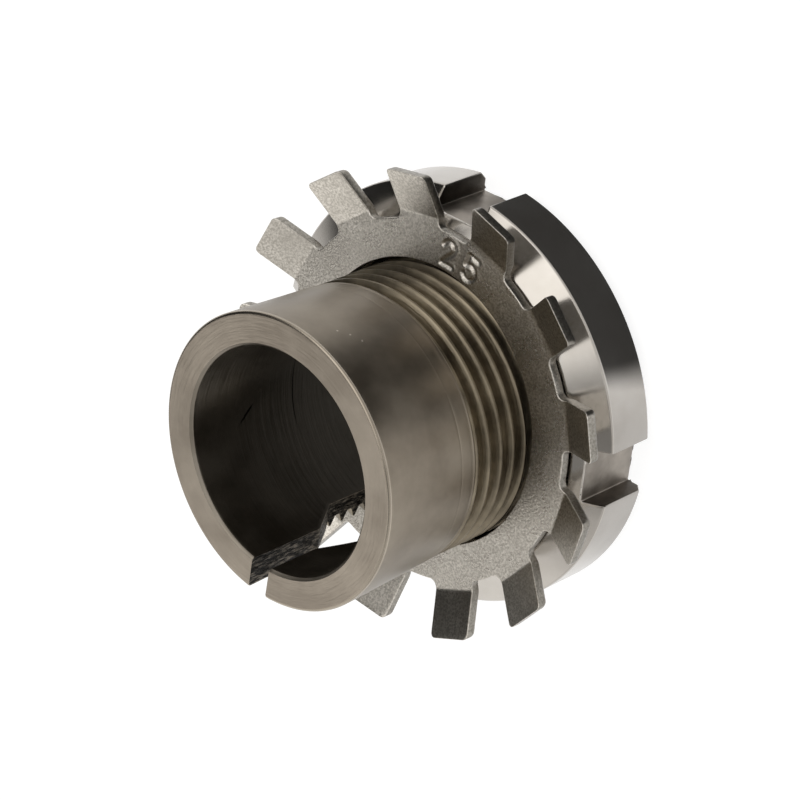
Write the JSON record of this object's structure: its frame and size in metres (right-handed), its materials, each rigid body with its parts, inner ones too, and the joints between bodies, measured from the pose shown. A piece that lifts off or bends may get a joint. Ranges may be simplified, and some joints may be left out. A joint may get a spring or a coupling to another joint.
{
  "type": "bearing adapter sleeve",
  "caption": "Slit tapered sleeve for clamping a bearing on a plain shaft, with a bent-tab lock washer and a slotted round nut on its threaded end.",
  "frame": {"origin": "on the bore axis, in the plane of the sleeve's small end, which is the lowest face", "axes": "+Z along the bore axis towards the big end; the slit points to -112.4 degrees from +X about +Z"},
  "size_m": [0.0415, 0.0416, 0.026],
  "materials": {
    "sleeve_steel": "turned and ground, satin, lightly oiled",
    "washer_steel": "matt grey phosphated sheet with a fine mottled grain",
    "nut_steel": "turned bright"
  },
  "bodies": {
    "sleeve": {"adapter_sleeve": "sleeve_steel"},
    "washer": {"lock_washer": "washer_steel"},
    "nut": {"lock_nut": "nut_steel"}
  },
  "joints": [
    {"name": "washer_slide", "type": "slide", "parent": "sleeve", "child": "washer", "axis": [0, 0, 1], "range_m": [-0.006, 0.006]},
    {"name": "nut_spin", "type": "hinge", "parent": "washer", "child": "nut", "pos_m": [0, 0, 0.0038], "axis": [0, 0, 1], "range_deg": [-1440, 1440]}
  ],
  "couplings": [
    {"joint": "washer_slide", "follows": "nut_spin", "m_per_rad": 0.00023873}
  ]
}
